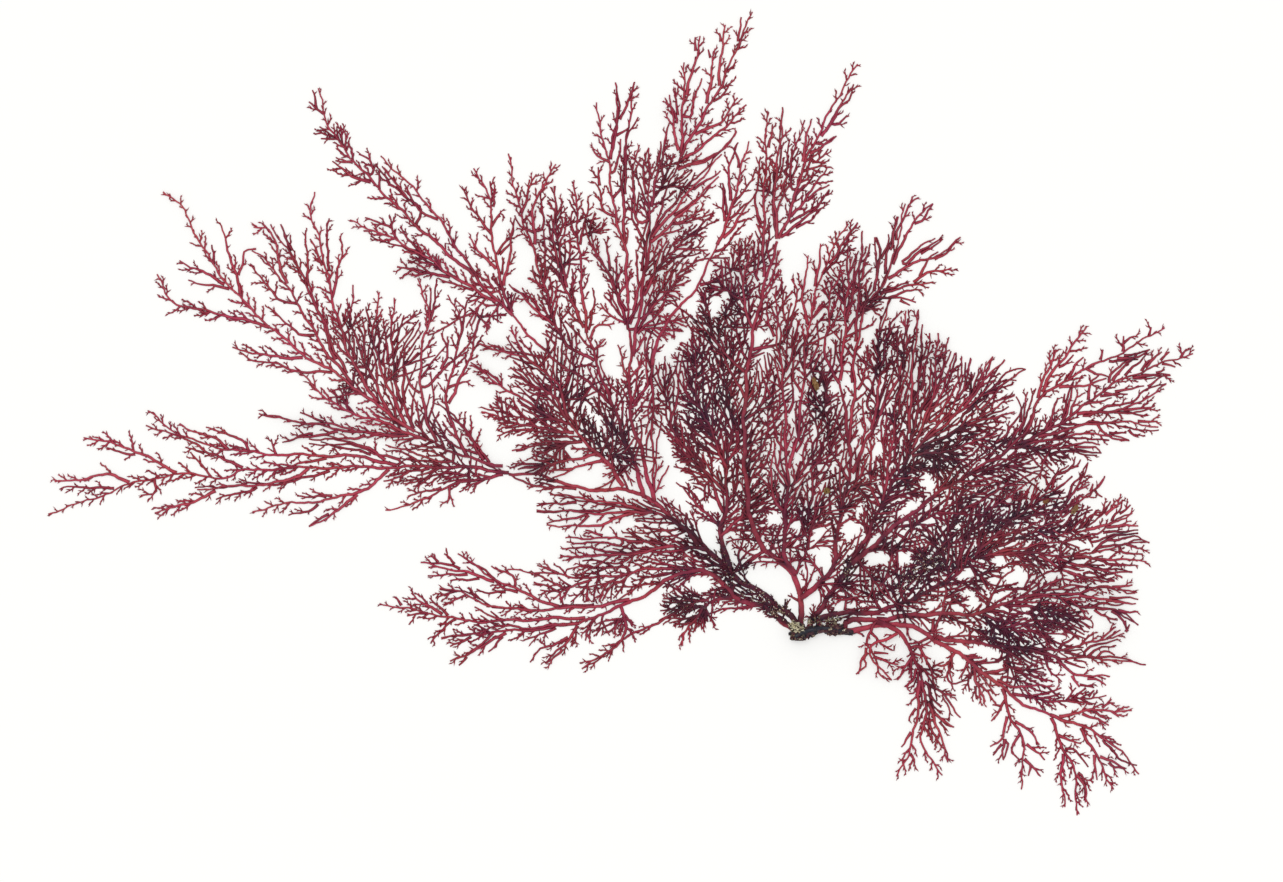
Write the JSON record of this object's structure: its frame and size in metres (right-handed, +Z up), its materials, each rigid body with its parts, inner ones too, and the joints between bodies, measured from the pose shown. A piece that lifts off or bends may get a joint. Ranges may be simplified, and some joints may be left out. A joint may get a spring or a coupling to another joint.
{
  "type": "pressed red seaweed",
  "caption": "Pressed and dried red seaweed lying flat: a dark knotted holdfast with fine, repeatedly branched crimson fronds fanned out to both sides and upwards.",
  "frame": {"origin": "on the flat underside of the holdfast's left knot, where the stems come together", "axes": "+Z up from the surface it lies on; +X to the right along the specimen's long way; +Y up the sheet as it is looked at from above"},
  "size_m": [0.1946, 0.1366, 0.0025],
  "materials": {
    "holdfast": "matte",
    "frond": "matte"
  },
  "bodies": {
    "root": {"holdfast": "holdfast", "far_left_frond": "frond", "left_upper_frond": "frond", "lower_left_frond": "frond", "left_inner_frond": "frond", "left_fan_frond": "frond", "upper_left_frond": "frond", "centre_left_frond": "frond", "tall_frond": "frond", "top_frond": "frond", "inner_left_frond": "frond", "slender_frond": "frond", "middle_frond": "frond", "centre_frond": "frond", "right_centre_frond": "frond", "right_upper_frond": "frond", "upper_right_frond": "frond", "right_frond": "frond", "right_lower_frond": "frond", "lower_right_frond": "frond", "lower_middle_frond": "frond"}
  },
  "joints": []
}
